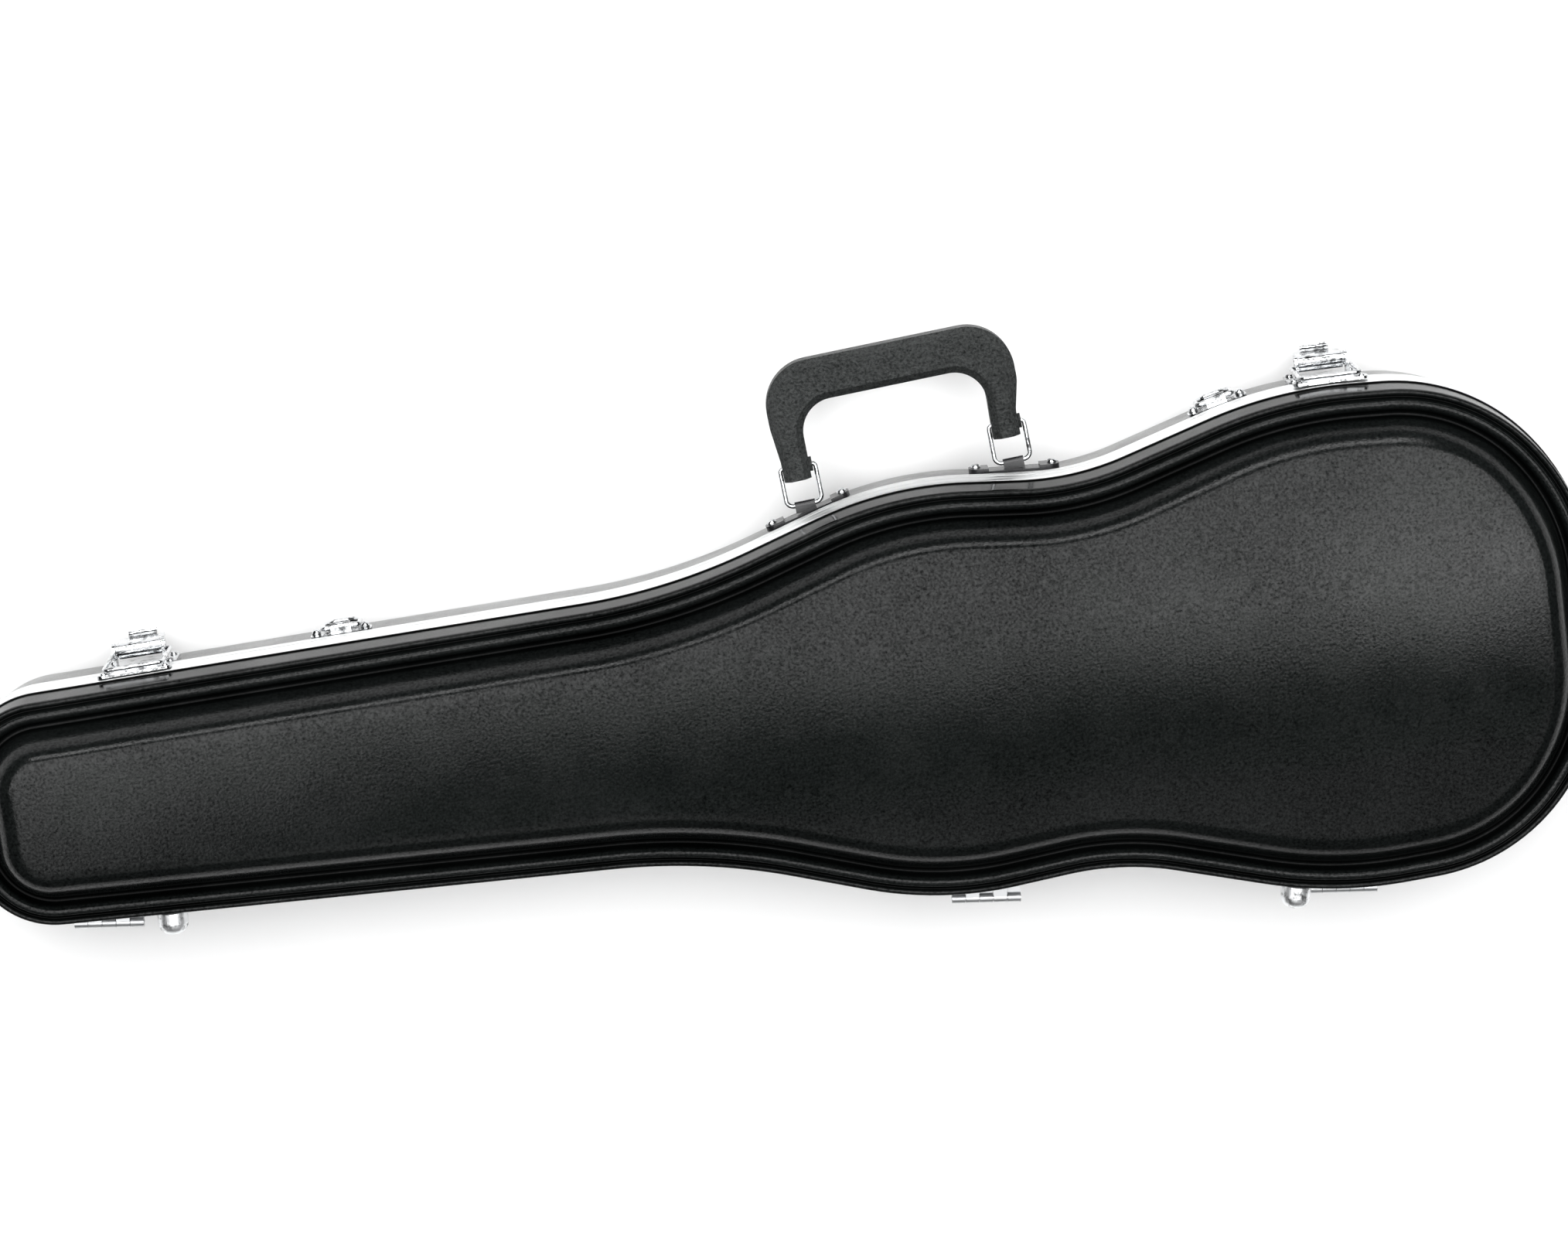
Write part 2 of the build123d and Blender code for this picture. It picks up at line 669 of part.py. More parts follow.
def bow_tip_pockets():
    pockets = []
    for y in (-TIP_POCKET_Y, TIP_POCKET_Y):
        pocket = block(TIP_POCKET_X, (y - 8, y + 8), (TIP_POCKET_LOW, LID_PAD_LOW - 0.2))
        mouth = (TIP_POCKET_X[0] + 5, TIP_POCKET_X[1] + 1)
        pocket -= block(mouth, (y - 5.5, y + 5.5), (TIP_POCKET_LOW + 2.5, LID_PAD_LOW - 2.7))
        pockets.append(pocket)
    return Compound(pockets)


NODES = {
    "base_shell": base_shell,
    "lid_shell": lid_shell,
    "base_valance": base_valance,
    "lid_valance": lid_valance,
    "base_floor_pad": base_floor_pad,
    "base_body_pads": base_body_pads,
    "base_pocket_pads": base_pocket_pads,
    "base_neck_pads": base_neck_pads,
    "base_pocket_divider": base_pocket_divider,
    "lid_side_pads": lid_side_pads,
    "lid_shoulder_pads": lid_shoulder_pads,
    "lid_top_pad": lid_top_pad,
    "neck_cradle": neck_cradle,
    "neck_strap": neck_strap,
    "compartment_lid": compartment_lid,
    "compartment_hinge": compartment_hinge,
    "compartment_pull": compartment_pull,
    "base_feet": lambda: feet(BASE_FOOT_Z, WALL_BACK),
    "lid_feet": lambda: feet(LID_FOOT_Z, WALL_BACK),
    "handle_bracket_left": lambda: handle_bracket(0),
    "handle_bracket_right": lambda: handle_bracket(1),
    "handle_bracket_rivets": handle_bracket_rivets,
    "handle_loop_left": lambda: handle_loop(0),
    "handle_loop_right": lambda: handle_loop(1),
    "handle_grip": handle_grip,
    "latch_pivot_pins": latch_pivot_pins,
    "latch_plate_rivets": latch_plate_rivets,
    "latch_keeper_rivets": latch_keeper_rivets,
    "strap_anchor_rivets": strap_anchor_rivets,
    "hinge_pins": hinge_pins,
    "hinge_base_rivets": lambda: hinge_rivets(False),
    "hinge_lid_rivets": lambda: hinge_rivets(True),
    "bow_spinner_posts": bow_spinner_posts,
    "bow_spinner_near": lambda: bow_spinner(-SPINNER_Y),
    "bow_spinner_far": lambda: bow_spinner(SPINNER_Y),
    "bow_tip_pockets": bow_tip_pockets,
}
for place_name in ("neck", "body"):
    NODES[f"latch_plate_{place_name}"] = lambda end=place_name: latch_plate(end)
    NODES[f"latch_lever_{place_name}"] = lambda end=place_name: latch_lever(end)
    NODES[f"latch_link_{place_name}"] = lambda end=place_name: latch_link(end)
    NODES[f"latch_keeper_{place_name}"] = lambda end=place_name: latch_keeper(end)
    NODES[f"strap_anchor_{place_name}"] = lambda end=place_name: strap_anchor(end)
    NODES[f"strap_ring_{place_name}"] = lambda end=place_name: strap_ring(end)
for place_name in HINGE_X:
    NODES[f"hinge_base_leaf_{place_name}"] = lambda name=place_name: hinge_leaf(name, False)
    NODES[f"hinge_lid_leaf_{place_name}"] = lambda name=place_name: hinge_leaf(name, True)

os.makedirs("parts", exist_ok=True)
for node, make in NODES.items():
    export_step(make(), f"parts/{node}.step")
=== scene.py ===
import json
import math

import bmesh
import bpy
from mathutils import Matrix, Vector


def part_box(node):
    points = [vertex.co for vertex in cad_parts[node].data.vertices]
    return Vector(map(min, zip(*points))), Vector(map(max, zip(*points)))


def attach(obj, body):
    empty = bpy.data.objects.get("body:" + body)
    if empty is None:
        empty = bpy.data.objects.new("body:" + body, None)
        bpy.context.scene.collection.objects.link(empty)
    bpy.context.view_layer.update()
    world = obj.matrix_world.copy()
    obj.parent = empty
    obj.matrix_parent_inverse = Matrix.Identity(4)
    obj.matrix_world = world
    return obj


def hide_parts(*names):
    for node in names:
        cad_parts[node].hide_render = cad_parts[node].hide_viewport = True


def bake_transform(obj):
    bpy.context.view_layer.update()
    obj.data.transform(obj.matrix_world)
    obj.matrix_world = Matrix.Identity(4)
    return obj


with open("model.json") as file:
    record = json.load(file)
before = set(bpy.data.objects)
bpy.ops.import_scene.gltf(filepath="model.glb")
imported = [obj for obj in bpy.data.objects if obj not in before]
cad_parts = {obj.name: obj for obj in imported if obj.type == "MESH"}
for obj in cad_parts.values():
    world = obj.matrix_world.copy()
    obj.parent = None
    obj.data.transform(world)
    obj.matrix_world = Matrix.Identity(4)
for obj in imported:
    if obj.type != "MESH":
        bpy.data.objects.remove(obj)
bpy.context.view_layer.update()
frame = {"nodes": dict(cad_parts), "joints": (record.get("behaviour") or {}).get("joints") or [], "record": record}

MM = 0.001
Z = Vector((0, 0, 1))
JOINTS = {j["name"]: j for j in frame["joints"]}

# Plan of the case in millimetres: corners of the half outline as (x, half width, radius)
PLAN = (
    (-398, 56, 44),
    (-46, 67, 300),
    (65, 103.5, 180),
    (154, 95, 132),
    (255, 125, 210),
    (347, 120, 94),
    (398, 57, 110),
)
RIM_STEP = 4.0 * MM
ARC_STEP = math.radians(4)

# Sections of the two shells as (inset from the outline, height), millimetres, rim edge first
LID_SECTION = (
    (1.5, 63.7), (1.5, 74), (2.4, 88), (2.7, 93.0), (5.0, 93.3), (5.9, 91.0), (7.0, 92.4),
    (7.9, 95.0), (11.0, 95.0), (12.6, 91.4), (13.4, 89.3), (15.6, 89.3), (15.9, 91.0),
)
LID_INSIDE = ((4.5, 63.7), (5.5, 86), (7.5, 89), (13, 86.5), (18.5, 86.5), (21, 95))
PANEL_START = 16.0
PANEL_ROUND = 17.0
PANEL_POWER = 2.7
CROWN_Z = 112.0
CROWN_RADIUS = 640.0
SHELL_WALL = 3.0
HOLLOW_INSET = 30.0
BASE_SECTION = (
    (1.5, 60.7), (1.6, 50), (3.4, 16), (4.4, 8.4), (8.6, 4.4), (12.6, 4.6), (13.8, 7.8),
    (16.6, 7.8), (18.2, 3.4), (20.4, 0), (26, 0),
)
BASE_INSIDE = ((4.5, 60.7), (6.6, 14), (10, 9), (22, 9), (25, 3.2), (30, 3))
SPINE_X = (-342.0, 292.0)
# The lid's grain is faint up to this height and full a little above it; the base's is even
GRAIN_START = 91.6
GRAIN_FADE = 2.0
FAINT_GRAIN = 0.12
BASE_GRAIN = 0.9

# Aluminium channels round the rim, closed sections as (inset, height above the parting face)
VALANCE_SECTION = (
    (5.0, 0.0), (0.5, 0.0), (0.0, 0.5), (0.0, 3.6), (0.22, 4.1), (0.22, 4.7), (0.05, 5.2), (0.55, 10.6),
    (0.85, 11.0), (1.2, 10.8), (1.4, 10.2), (1.4, 1.6), (1.8, 1.2), (5.0, 1.2),
)
PARTING_Z = 62.0
LID_GAP = 0.4


# Meshes -----------------------------------------------------------------------------------


def corner_arc(before, here, after, radius):
    """Points and outward normals round one corner of the outline."""
    d1 = (here - before).normalized()
    d2 = (after - here).normalized()
    turn = math.atan2(d1.x * d2.y - d1.y * d2.x, d1.dot(d2))
    start = here - d1 * radius * math.tan(abs(turn) / 2)
    normal = Vector((-d1.y, d1.x))
    side = 1 if turn < 0 else -1
    centre = start - normal * radius * side
    steps = max(4, math.ceil(abs(turn) / min(ARC_STEP, RIM_STEP / radius)))
    arc = []
    for k in range(steps + 1):
        n = normal.copy()
        n.rotate(Matrix.Rotation(turn * k / steps, 2))
        arc.append((centre + n * radius * side, n))
    return arc


def straight(start, end):
    """Points between two samples of the outline that share a normal."""
    run = end[0] - start[0]
    steps = max(1, math.ceil(run.length / RIM_STEP))
    return [(start[0] + run * k / steps, start[1]) for k in range(1, steps)]


def rim_samples():
    """Closed list of (point, outward normal) round the outline, starting at the neck tip."""
    corners = [Vector((x, w)) * MM for x, w, _ in PLAN]
    first = Vector((corners[0].x, -corners[0].y))
    last = Vector((corners[-1].x, -corners[-1].y))
    corners = [first] + corners + [last]
    half = [(Vector((corners[1].x, 0)), Vector((-1, 0)))]
    for i, (_, _, radius) in enumerate(PLAN):
        arc = corner_arc(corners[i], corners[i + 1], corners[i + 2], radius * MM)
        half += straight(half[-1], arc[0]) + arc
    tip = (Vector((corners[-1].x, 0)), Vector((1, 0)))
    half += straight(half[-1], tip) + [tip]
    mirrored = [(Vector((p.x, -p.y)), Vector((n.x, -n.y))) for p, n in reversed(half[1:-1])]
    return half + mirrored


RIM = rim_samples()


def ring(inset, z):
    """One closed row of points round the case, at an inset and height in millimetres."""
    return [Vector((*(p - n * inset * MM), z * MM)) for p, n in RIM]


def softened(points, rounds, closed=False):
    """Corner cutting: each round replaces every corner by two points."""
    for _ in range(rounds):
        cut = [] if closed else [points[0]]
        pairs = list(zip(points, points[1:] + points[:1] if closed else points[1:]))
        for a, b in pairs:
            a, b = Vector(a), Vector(b)
            cut += [tuple(a.lerp(b, 0.25)), tuple(a.lerp(b, 0.75))]
        points = cut if closed else cut + [points[-1]]
    return points


def crown(y, drop=0.0):
    """Height of the arched panel over the centre line, in metres."""
    radius = CROWN_RADIUS * MM
    return (CROWN_Z - drop) * MM - radius + math.sqrt(radius * radius - y * y)


def level(z):
    """The same height everywhere, for a face that isn't arched."""
    return lambda y: z * MM


def quads(rows, close_rows=False):
    """Faces between rows of points that close on themselves."""
    faces = []
    count = len(rows[0])
    last = len(rows) if close_rows else len(rows) - 1
    for i in range(last):
        here, there = i * count, (i + 1) % len(rows) * count
        for k in range(count):
            m = (k + 1) % count
            faces.append((here + k, here + m, there + m, there + k))
    return faces


def to_spine(row, count, height):
    """Rows that run from a closed row to the centre line of the case."""
    low, high = SPINE_X[0] * MM, SPINE_X[1] * MM
    rows = []
    for k in range(1, count + 1):
        t = k / count
        moved = []
        for p in row:
            target = Vector((min(max(p.x, low), high), 0, 0))
            q = p.lerp(target, t)
            moved.append(Vector((q.x, q.y, height(q.y))))
        rows.append(moved)
    return rows


def link(name, mesh, material, body):
    """Puts a finished mesh in the scene as a piece of the case."""
    mesh.materials.clear()
    mesh.materials.append(material)
    piece = bpy.data.objects.new(name, mesh)
    bpy.context.scene.collection.objects.link(piece)
    if body:
        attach(piece, body)
    return piece


def flat(rows):
    """All the points of several rows in one list."""
    return [p for row in rows for p in row]


def end_caps(rows):
    """The two faces that close the first and the last of several closed rows."""
    count, total = len(rows[0]), sum(len(row) for row in rows)
    return [tuple(range(count))[::-1], tuple(range(total - count, total))]


def make_mesh(name, points, faces, sharp):
    """Clean mesh, smooth but for edges sharper than an angle in degrees."""
    mesh = bpy.data.meshes.new(name)
    mesh.from_pydata([tuple(p) for p in points], [], faces)
    work = bmesh.new()
    work.from_mesh(mesh)
    bmesh.ops.remove_doubles(work, verts=work.verts, dist=1e-6)
    bmesh.ops.dissolve_degenerate(work, edges=work.edges, dist=1e-7)
    bmesh.ops.recalc_face_normals(work, faces=work.faces)
    for face in work.faces:
        face.smooth = True
    work.to_mesh(mesh)
    work.free()
    mesh.set_sharp_from_angle(angle=math.radians(sharp))
    return mesh


# Materials --------------------------------------------------------------------------------


class Shader:
    """A node material: a Principled shader and short helpers for its textures."""

    def __init__(self, name, **values):
        self.material = bpy.data.materials.new(name)
        self.material.use_nodes = True
        self.tree = self.material.node_tree
        self.main = self.tree.nodes["Principled BSDF"]
        for socket, value in values.items():
            self.main.inputs[socket.replace("_", " ")].default_value = value
        self.place = self.add("ShaderNodeTexCoord").outputs["Object"]

    def add(self, kind, **settings):
        node = self.tree.nodes.new(kind)
        for key, value in settings.items():
            setattr(node, key, value)
        return node

    def wire(self, source, target):
        self.tree.links.new(source, target)

    def stretch(self, x, y, z):
        node = self.add("ShaderNodeMapping")
        node.inputs["Scale"].default_value = (x, y, z)
        self.wire(self.place, node.inputs["Vector"])
        return node.outputs["Vector"]

    def noise(self, scale, detail=2.0, rough=0.5, place=None):
        node = self.add("ShaderNodeTexNoise")
        node.inputs["Scale"].default_value = scale
        node.inputs["Detail"].default_value = detail
        node.inputs["Roughness"].default_value = rough
        self.wire(place or self.place, node.inputs["Vector"])
        return node.outputs["Fac"]

    def cells(self, scale):
        node = self.add("ShaderNodeTexVoronoi", feature="F1")
        node.inputs["Scale"].default_value = scale
        self.wire(self.place, node.inputs["Vector"])
        return node.outputs["Distance"]

    def spread(self, source, low, high, to_low, to_high):
        node = self.add("ShaderNodeMapRange")
        values = {"From Min": low, "From Max": high, "To Min": to_low, "To Max": to_high}
        for socket, value in values.items():
            node.inputs[socket].default_value = value
        self.wire(source, node.inputs["Value"])
        return node.outputs["Result"]

    def maths(self, operation, a, b):
        node = self.add("ShaderNodeMath", operation=operation)
        for socket, value in zip(node.inputs, (a, b)):
            if isinstance(value, (int, float)):
                socket.default_value = value
            else:
                self.wire(value, socket)
        return node.outputs["Value"]

    def mix(self, a, share_a, b, share_b):
        """Weighted sum of two values."""
        return self.maths("ADD", self.maths("MULTIPLY", a, share_a), self.maths("MULTIPLY", b, share_b))

    def ramp(self, source, *stops):
        """Colour by value: stops are (position, colour)."""
        node = self.add("ShaderNodeValToRGB")
        ramp = node.color_ramp
        while len(ramp.elements) < len(stops):
            ramp.elements.new(1.0)
        for element, (position, colour) in zip(ramp.elements, stops):
            element.position = position
            element.color = (*colour, 1)
        self.wire(source, node.inputs["Fac"])
        return node.outputs["Color"]

    def colour(self, source, *stops):
        self.wire(self.ramp(source, *stops), self.main.inputs["Base Color"])

    def rough(self, source, low, high):
        self.wire(self.spread(source, 0.3, 0.7, low, high), self.main.inputs["Roughness"])

    def bump(self, source, depth):
        node = self.add("ShaderNodeBump")
        node.inputs["Distance"].default_value = depth
        node.inputs["Strength"].default_value = 1.0
        self.wire(source, node.inputs["Height"])
        self.wire(node.outputs["Normal"], self.main.inputs["Normal"])


def dimmed(colour, share):
    """A colour with each channel scaled."""
    return tuple(c * share for c in colour)


def grained_plastic(name, pitch, depth, dark, light, roughness, specular, masked=False):
    """Moulded black plastic with a leather grain in its height, colour and gloss.

    With masked on, the mesh's grain attribute fades the grain.
    """
    shader = Shader(name, IOR=1.45)
    leather = shader.noise(1 / pitch, 3, 0.62)
    pores = shader.spread(shader.cells(0.7 / pitch), 0.15, 0.75, 1.0, 0.0)
    leather = shader.spread(leather, 0.26, 0.74, 0.0, 1.0)
    grain = shader.maths("ADD", leather, shader.maths("MULTIPLY", pores, 0.12))
    if masked:
        fade = shader.add("ShaderNodeAttribute", attribute_name="grain")
        grain = shader.maths("MULTIPLY", grain, fade.outputs["Fac"])
    cloud = shader.noise(11, 4, 0.6)
    shade = shader.mix(grain, 0.6, cloud, 0.4)
    shader.colour(shade, (0.15, dark), (0.75, light))
    shader.rough(shader.noise(38, 4, 0.65), roughness - 0.05, roughness + 0.07)
    shader.bump(grain, depth)
    sheen = shader.spread(shade, 0.22, 0.72, specular * 0.3, specular * 1.9)
    shader.wire(sheen, shader.main.inputs["Specular IOR Level"])
    return shader.material


def brushed_metal(name, colour, roughness, streak):
    """Metal with fine drawn lines along the rim and faint stains."""
    shader = Shader(name, Metallic=1.0)
    lines = shader.noise(1.0, 3, 0.6, shader.stretch(18, 18, streak))
    stain = shader.noise(26, 4, 0.6)
    mixed = shader.mix(lines, 0.5, stain, 0.5)
    shader.colour(mixed, (0.3, dimmed(colour, 0.78)), (0.7, colour))
    shader.rough(mixed, roughness - 0.07, roughness + 0.1)
    shader.bump(lines, 0.00002)
    return shader.material


def plated(name, colour, roughness):
    """Bright plating with painted dark reflection patches that are also duller, ripples and hairline scratches."""
    shader = Shader(name, Metallic=1.0)
    painted_reflection_and_dull_patches = shader.noise(210, 4, 0.65)
    scratch = shader.noise(1.0, 2, 0.5, shader.stretch(900, 260, 2600))
    # The dark patches in the base colour are painted dark reflections; the same patches are made rougher.
    shader.colour(painted_reflection_and_dull_patches, (0.36, dimmed(colour, 0.16)), (0.5, colour))
    shader.rough(painted_reflection_and_dull_patches, roughness, roughness + 0.12)
    ripple = shader.noise(420, 2, 0.4)
    shader.bump(shader.maths("ADD", shader.maths("MULTIPLY", scratch, 0.05), ripple), 0.00022)
    return shader.material


def pile_fabric(name, dark, light, sheen):
    """Short plush: brushed nap with soft patches and a fibrous surface."""
    shader = Shader(name, Sheen_Weight=sheen, Sheen_Roughness=0.45, Roughness=1.0)
    shader.main.inputs["Sheen Tint"].default_value = (0.75, 0.77, 0.8, 1)
    shader.main.inputs["Specular IOR Level"].default_value = 0.1
    nap = shader.noise(24, 4, 0.6)
    fibre = shader.noise(2400, 3, 0.7)
    mixed = shader.mix(nap, 0.5, fibre, 0.5)
    shader.colour(mixed, (0.32, dark), (0.68, light))
    shader.bump(shader.maths("ADD", fibre, shader.noise(260, 2)), 0.0006)
    return shader.material


def woven_tape(name, dark, light, pitch):
    """Tape with crossed yarns."""
    shader = Shader(name, Roughness=0.85, Sheen_Weight=0.3)
    warp = shader.add("ShaderNodeTexWave", bands_direction="X")
    weft = shader.add("ShaderNodeTexWave", bands_direction="Y")
    for node in (warp, weft):
        node.inputs["Scale"].default_value = 1 / pitch
        node.inputs["Distortion"].default_value = 0.6
        shader.wire(shader.place, node.inputs["Vector"])
    weave = shader.maths("MAXIMUM", warp.outputs["Fac"], weft.outputs["Fac"])
    shader.colour(shader.maths("MULTIPLY", weave, shader.noise(900, 2)), (0.1, dark), (0.6, light))
    shader.bump(weave, 0.0003)
    return shader.material


def glossy_plastic(name, dark, light):
    """Smooth black plastic or enamel with faint flow marks."""
    shader = Shader(name)
    flow = shader.noise(90, 3)
    shader.colour(flow, (0.3, dark), (0.7, light))
    shader.rough(flow, 0.22, 0.36)
    shader.bump(shader.noise(700, 2), 0.00003)
    return shader.material


GRAIN_PITCH = 1.3 * MM
SHELL = grained_plastic(
    "shell_black", GRAIN_PITCH, 0.036 * MM, (0.0003, 0.0004, 0.0004), (0.0066, 0.0078, 0.0076), 0.14, 0.135,
    masked=True,
)
GRIP = grained_plastic(
    "handle_black", GRAIN_PITCH, 0.5 * MM, (0.0015, 0.0019, 0.0019), (0.018, 0.0205, 0.02), 0.46, 0.25,
)
ALUMINIUM = brushed_metal("valance_metal", (0.80, 0.81, 0.81), 0.34, 5200)
STEEL = brushed_metal("hinge_steel", (0.62, 0.63, 0.64), 0.4, 900)
CHROME = plated("chrome", (0.56, 0.57, 0.58), 0.04)
# Feet: a rougher satin copy of the chrome whose colour is raised above the chrome's as painted light for the shade
# under the case.
FOOT_SATIN_PAINTED_LIGHT = plated("foot_satin_painted_light", (0.84, 0.85, 0.86), 0.34)
ENAMEL = glossy_plastic("bracket_black", (0.006, 0.006, 0.007), (0.016, 0.016, 0.018))
PLUSH = pile_fabric("plush", (0.035, 0.036, 0.039), (0.10, 0.103, 0.108), 0.6)
TAPE = woven_tape("strap_fabric", (0.006, 0.006, 0.007), (0.035, 0.035, 0.038), 0.0016)
CLIP = glossy_plastic("spinner_plastic", (0.008, 0.008, 0.009), (0.02, 0.02, 0.021))
FINISH = {
    "shell_black": SHELL,
    "handle_black": GRIP,
    "valance_metal": ALUMINIUM,
    "hinge_steel": STEEL,
    "chrome": CHROME,
    "bracket_black": ENAMEL,
    "plush": PLUSH,
    "strap_fabric": TAPE,
    "spinner_plastic": CLIP,
}


# Shells and rim ---------------------------------------------------------------------------


def shell(name, outside, inside, outer_rows, inner_rows, body, node):
    """Closed moulding from the rows of its outer and inner face."""
    outer = [ring(*p) for p in outside] + outer_rows
    inner = [ring(*p) for p in inside] + inner_rows
    points = flat(outer + inner)
    count = len(RIM)
    faces = quads(outer)
    shift = len(outer) * count
    faces += [tuple(v + shift for v in reversed(face)) for face in quads(inner)]
    faces += [(shift + k, shift + (k + 1) % count, (k + 1) % count, k) for k in range(count)]
    mesh = make_mesh(name, points, faces, 60)
    piece = link(name, mesh, SHELL, body)
    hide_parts(node)
    return piece


def panel_rows():
    """Rounded edge of the raised panel and its arched face."""
    rows = []
    groove = ring(PANEL_START, LID_SECTION[-1][1])
    steps = 16
    for k in range(1, steps + 1):
        t = (k / steps) ** 1.5
        rise = 1 - (1 - t) ** PANEL_POWER
        row = ring(PANEL_START + PANEL_ROUND * t, 0)
        for p, foot in zip(row, groove):
            p.z = foot.z + (crown(p.y) - foot.z) * rise
        rows.append(row)
    return rows + to_spine(rows[-1], 16, crown)


def paint_grain(piece, amount_at):
    """Sets the strength of the grain at each vertex from its height."""
    attribute = piece.data.attributes.new("grain", "FLOAT", "POINT")
    attribute.data.foreach_set("value", [amount_at(vertex.co.z) for vertex in piece.data.vertices])


def lid_grain(z):
    """Faint grain on the lid's wall and full grain on its face."""
    return min(1.0, max(FAINT_GRAIN, (z - GRAIN_START * MM) / (GRAIN_FADE * MM)))


def make_lid():
    """Lid shell: wall, beaded shoulder, raised arched panel and hollow inside."""
    outside = softened(LID_SECTION, 2)

    def ceiling(y):
        return crown(y, SHELL_WALL)

    inner_edge = ring(HOLLOW_INSET, 0)
    for p in inner_edge:
        p.z = ceiling(p.y)
    inner_rows = [inner_edge] + to_spine(inner_edge, 8, ceiling)
    lid = shell("lid_moulding", outside, LID_INSIDE, panel_rows(), inner_rows, "lid", "lid_shell")
    paint_grain(lid, lid_grain)


def make_base():
    """Base shell with a rolled foot."""
    outside = softened(BASE_SECTION, 2)
    outer_rows = to_spine(ring(*BASE_SECTION[-1]), 16, level(BASE_SECTION[-1][1]))
    inner_rows = to_spine(ring(*BASE_INSIDE[-1]), 8, level(BASE_INSIDE[-1][1]))
    base = shell("base_moulding", outside, BASE_INSIDE, outer_rows, inner_rows, "base", "base_shell")
    paint_grain(base, lambda z: BASE_GRAIN)


def make_valance(name, direction, start, body):
    """One channel: direction 1 stands up from its parting face, -1 hangs down from it."""
    rows = [ring(inset, start + direction * height) for inset, height in VALANCE_SECTION]
    mesh = make_mesh(name, flat(rows), quads(rows, True), 35)
    piece = link(name, mesh, ALUMINIUM, body)
    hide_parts(name.replace("_channel", "_valance"))


# Linings ----------------------------------------------------------------------------------

SEAM_PITCH = 62 * MM
SEAM_DRAW = 1.6 * MM
SEAM_SINK = 1.4 * MM
SEAM_WIDTH = 3.2 * MM
# Wall pads of the base: inset of the wall, foot, top, and lean of the foot off the wall
WALL_INSET, WALL_FOOT, WALL_TOP, WALL_LEAN = 5.2, 18.4, 56.9, 1.6
BODY_LEDGE = 9.6
POCKET_LEDGE = 14.2
NECK_CHANNEL = 34.4
BODY_PADS_X = 8
NECK_PADS_X = (-231, 0.5)
POCKET_PADS_X = -247
DIVIDER_X = -242.8
COVER_END_X = -241
# The two pads over the whole plan: inset, and how far their edges are rounded
FLOOR_INSET, FLOOR_EDGE = 9.4, 2.5
FLOOR_PAD_Z = (9.6, 16.6)
LID_TOP_INSET, LID_TOP_EDGE = 25, 2
LID_TOP_Z = 100.6
LID_TOP_DROP = 4.8
# Cloth swelling: voxel of the remesh, and the furthest that a point may move
FLOOR_SWELL = (3.4, 1.3)
NECK_SWELL = (3, 1.2)
# Closed sections of the lid's pads as (inset, height)
LID_SIDE_PAD = (
    (5.1, 65), (5.9, 85), (6.7, 89.3), (12.0, 89.3), (12.3, 86), (12.8, 77), (12.2, 66), (11, 64.4),
    (6.4, 64.4),
)
LID_SHOULDER_PAD = (
    (13.2, 85), (13.4, 89.3), (21.6, 89.5), (22.3, 98.2), (26.2, 98.4), (26.9, 94), (26.6, 86),
    (25, 84.2), (15, 84.2),
)
SADDLE_Z = 50.0
SADDLE_RADIUS = 17.0
# Neck rest: half width, foot, top of the horns, and the height that its ends shrink to
NECK_REST_SIZE = (32.4, 19.6, 49.6, 34)
# Rounded ends as (x, scale of the section there)
NECK_REST_RUN = (
    (-64.6, 0.9), (-63.8, 0.97), (-62, 1), (-56, 1), (-50, 1), (-44, 1), (-38, 1), (-36.2, 0.97),
    (-35.4, 0.9),
)
SLEEVE_OUTSIDE = (
    (-361.6, 0.72), (-361.0, 0.9), (-359, 0.98), (-350, 1), (-340, 1), (-334, 0.98), (-332.6, 0.93),
)
SLEEVE_INSIDE = ((-332.3, 1.12), (-333.2, 1.02), (-340, 1), (-350, 1), (-355, 0.97), (-356.4, 0.8))
SLEEVE_Z = 91.9
SLEEVE_Y = (-13.0, 13.0)
# Edge of the pocket cover as (inset, height), its crown, and the line that its rows close on
COVER_EDGE = ((17.6, 57.9), (16.7, 58.3), (16.5, 59.0), (16.8, 59.7), (17.8, 60.1))
COVER_CROWN = 0.4
COVER_SPINE_X = (-340, -280)
COVER_ROWS = 8


def run_of(keep):
    """The unbroken run of rim samples whose points pass a test."""
    flags = [keep(p) for p, _ in RIM]
    index = next(i for i in range(len(RIM)) if flags[i] and not flags[i - 1])
    run = []
    while flags[index % len(RIM)]:
        run.append(RIM[index % len(RIM)])
        index += 1
    return run


def cushion_section(width, low, high, lean):
    """Closed section of a stuffed pad against a wall: (distance from the wall, height)."""
    middle = (low + high) / 2
    points = (
        (lean, low + 3), (0, high - 3), (3, high - 0.9), (width / 2, high), (width - 3.6, high - 0.9),
        (width - 1.2, high - 3.6), (width, middle), (width - 0.9, low + 4), (width - 3, low), (3 + lean, low),
    )
    return softened(points, 2, closed=True)


def wall_stations(run, width_at):
    """Sections of a wall pad along a run of the rim; width_at gives (inward, width) at a sample."""
    stations = []
    for p, n in run:
        wall = p - n * WALL_INSET * MM
        inward, width = width_at(wall, n)
        section = cushion_section(width, WALL_FOOT, WALL_TOP, WALL_LEAN)
        stations.append([Vector((*(wall + inward * u * MM), z * MM)) for u, z in section])
    return stations


def stitched(stations):
    """Draws the sections in towards their middles where the cross seams run."""
    travelled = 0.0
    before = None
    result = []
    for points in stations:
        middle = sum(points, Vector()) / len(points)
        travelled += (middle - before).length if before else 0.0
        before = middle
        gap = abs(travelled / SEAM_PITCH % 1 - 0.5) * SEAM_PITCH
        draw = SEAM_DRAW * math.exp(-((gap / SEAM_WIDTH) ** 2))
        result.append([p + (middle - p).normalized() * draw for p in points])
    return result


